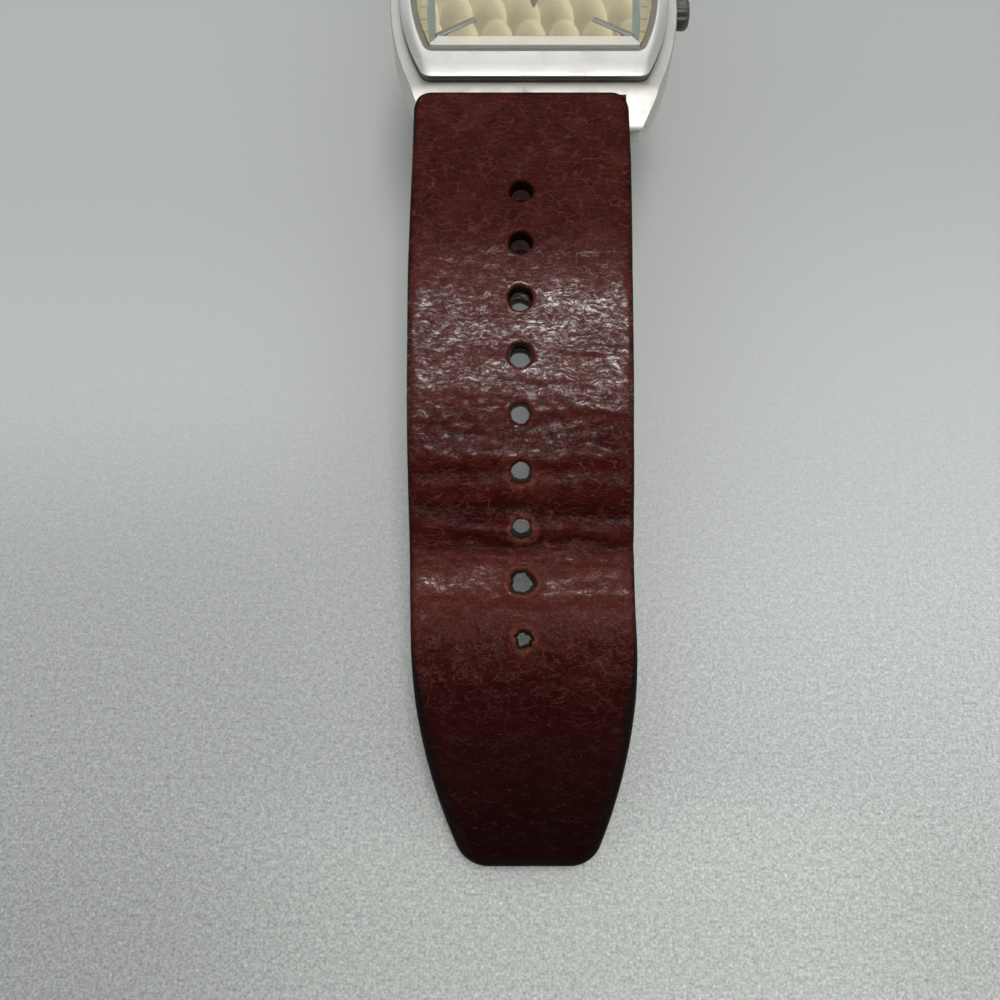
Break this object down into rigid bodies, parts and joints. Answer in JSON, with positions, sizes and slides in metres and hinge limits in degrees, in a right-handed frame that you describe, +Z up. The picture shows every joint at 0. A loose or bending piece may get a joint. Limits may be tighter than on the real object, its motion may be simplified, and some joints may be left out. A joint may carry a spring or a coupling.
{
  "type": "tonneau watch",
  "caption": "Barrel-shaped wristwatch with a cream fish-scale dial on a two-layer punched leather strap with a tang buckle, standing as an arch.",
  "frame": {"origin": "on the table under the middle of the dial, at the middle of the box's lowest face", "axes": "+X to the crown, +Y to 12 o'clock, +Z up out of the dial"},
  "size_m": [0.0387, 0.2081, 0.0361],
  "materials": {
    "case_steel": "fine satin grain along the sides",
    "bezel_steel": "satin top, bright bevel",
    "ring_steel": "satin",
    "crown_steel": "worn polish",
    "buckle_steel": "polished, fine scratches",
    "bar_steel": "turned",
    "screw_steel": "turned",
    "movement_steel": "matt nickel",
    "crystal": "clear, slightly domed",
    "dial_cream": "cream lacquer over embossed scales",
    "marker_steel": "faceted, grey",
    "hand_steel": "faceted, grey",
    "black_rubber": "matt",
    "crystal_seal": "matt, grey-brown",
    "holder_plastic": "matt",
    "brass": "satin",
    "coil_wire": "lacquered wire",
    "circuit_green": "matt",
    "strap_leather": "dark burgundy, creased and worn",
    "lining_leather": "dark red-brown, smooth"
  },
  "bodies": {
    "case": {"case_middle": "case_steel", "bezel": "bezel_steel", "crystal": "crystal", "crystal_gasket": "crystal_seal", "dial_ring": "ring_steel", "dial": "dial_cream", "hour_markers": "marker_steel", "case_back": "case_steel", "case_back_gasket": "black_rubber", "case_back_screws": "screw_steel", "crown_tube": "screw_steel", "movement_holder": "holder_plastic", "main_plate": "brass", "train_bridge": "movement_steel", "stator": "movement_steel", "coil_core": "movement_steel", "coil_winding": "coil_wire", "battery": "screw_steel", "battery_clamp": "brass", "circuit_block": "circuit_green", "quartz_can": "screw_steel", "movement_screws": "screw_steel", "spring_bar_6": "bar_steel", "bar_spring_6": "bar_steel", "spring_bar_12": "bar_steel", "bar_spring_12": "bar_steel"},
    "minute": {"centre_wheel": "brass", "minute_hand": "hand_steel"},
    "hour": {"hour_wheel": "brass", "hour_hand": "hand_steel"},
    "motion": {"motion_wheel": "brass"},
    "third": {"third_wheel": "brass"},
    "intermediate": {"intermediate_wheel": "brass"},
    "rotor_body": {"rotor": "movement_steel"},
    "setting": {"setting_slide": "movement_steel"},
    "crown_body": {"crown": "crown_steel", "stem": "screw_steel", "crown_gasket": "black_rubber"},
    "pin_6_left": {"bar_pin_6_left": "bar_steel"},
    "pin_6_right": {"bar_pin_6_right": "bar_steel"},
    "pin_12_left": {"bar_pin_12_left": "bar_steel"},
    "pin_12_right": {"bar_pin_12_right": "bar_steel"},
    "strap_long": {"strap_long_top": "strap_leather", "strap_long_lining": "lining_leather"},
    "strap_short": {"strap_short_top": "strap_leather", "strap_short_lining": "lining_leather", "fixed_keeper": "strap_leather"},
    "keeper": {"sliding_keeper": "strap_leather"},
    "buckle": {"buckle_frame": "buckle_steel"},
    "tongue": {"buckle_tongue": "buckle_steel"}
  },
  "joints": [
    {"name": "minute_turn", "type": "hinge", "parent": "case", "child": "minute", "pos_m": [0, 0, 0.03247], "axis": [0, 0, -1], "continuous": true},
    {"name": "hour_turn", "type": "hinge", "parent": "case", "child": "hour", "pos_m": [0, 0, 0.03297], "axis": [0, 0, -1], "continuous": true},
    {"name": "motion_turn", "type": "hinge", "parent": "case", "child": "motion", "pos_m": [0, -0.00245, 0.03267], "axis": [0, 0, -1], "continuous": true},
    {"name": "third_turn", "type": "hinge", "parent": "case", "child": "third", "pos_m": [0.00122, 0.00212, 0.03047], "axis": [0, 0, -1], "continuous": true},
    {"name": "intermediate_turn", "type": "hinge", "parent": "case", "child": "intermediate", "pos_m": [0.00353, 0.00296, 0.03047], "axis": [0, 0, -1], "continuous": true},
    {"name": "rotor_turn", "type": "hinge", "parent": "case", "child": "rotor_body", "pos_m": [0.0042, 0.005, 0.03047], "axis": [0, 0, -1], "continuous": true},
    {"name": "crown_pull", "type": "slide", "parent": "case", "child": "setting", "axis": [1, 0, 0], "range_m": [0, 0.0008]},
    {"name": "crown_turn", "type": "hinge", "parent": "setting", "child": "crown_body", "pos_m": [0.018, 0, 0.03097], "axis": [1, 0, 0], "continuous": true},
    {"name": "pin_6_left_push", "type": "slide", "parent": "case", "child": "pin_6_left", "axis": [1, 0, 0], "range_m": [0, 0.0017], "stiffness_N_per_m": 600, "springref_m": -0.001},
    {"name": "pin_6_right_push", "type": "slide", "parent": "case", "child": "pin_6_right", "axis": [-1, 0, 0], "range_m": [0, 0.0017], "stiffness_N_per_m": 600, "springref_m": -0.001, "deforming": ["bar_spring_6"]},
    {"name": "pin_12_left_push", "type": "slide", "parent": "case", "child": "pin_12_left", "axis": [1, 0, 0], "range_m": [0, 0.0017], "stiffness_N_per_m": 600, "springref_m": -0.001},
    {"name": "pin_12_right_push", "type": "slide", "parent": "case", "child": "pin_12_right", "axis": [-1, 0, 0], "range_m": [0, 0.0017], "stiffness_N_per_m": 600, "springref_m": -0.001, "deforming": ["bar_spring_12"]},
    {"name": "strap_long_fold", "type": "hinge", "parent": "case", "child": "strap_long", "pos_m": [0, -0.0186, 0.03077], "axis": [1, 0, 0], "range_deg": [0, 75]},
    {"name": "strap_short_fold", "type": "hinge", "parent": "case", "child": "strap_short", "pos_m": [0, 0.0186, 0.03077], "axis": [-1, 0, 0], "range_deg": [0, 75]},
    {"name": "keeper_slide", "type": "slide", "parent": "strap_short", "child": "keeper", "axis": [0, -0.8554, 0.518], "range_m": [-0.003, 0.006]},
    {"name": "buckle_turn", "type": "hinge", "parent": "strap_short", "child": "buckle", "pos_m": [0, 0.08702, 0.002], "axis": [1, 0, 0], "range_deg": [-70, 15]},
    {"name": "tongue_turn", "type": "hinge", "parent": "buckle", "child": "tongue", "pos_m": [0, 0.08702, 0.002], "axis": [1, 0, 0], "range_deg": [0, 90]}
  ],
  "couplings": [
    {"joint": "hour_turn", "follows": "minute_turn", "ratio": 0.083333},
    {"joint": "motion_turn", "follows": "minute_turn", "ratio": -0.33333},
    {"joint": "third_turn", "follows": "minute_turn", "ratio": -3},
    {"joint": "intermediate_turn", "follows": "minute_turn", "ratio": 15},
    {"joint": "rotor_turn", "follows": "minute_turn", "ratio": -90}
  ]
}
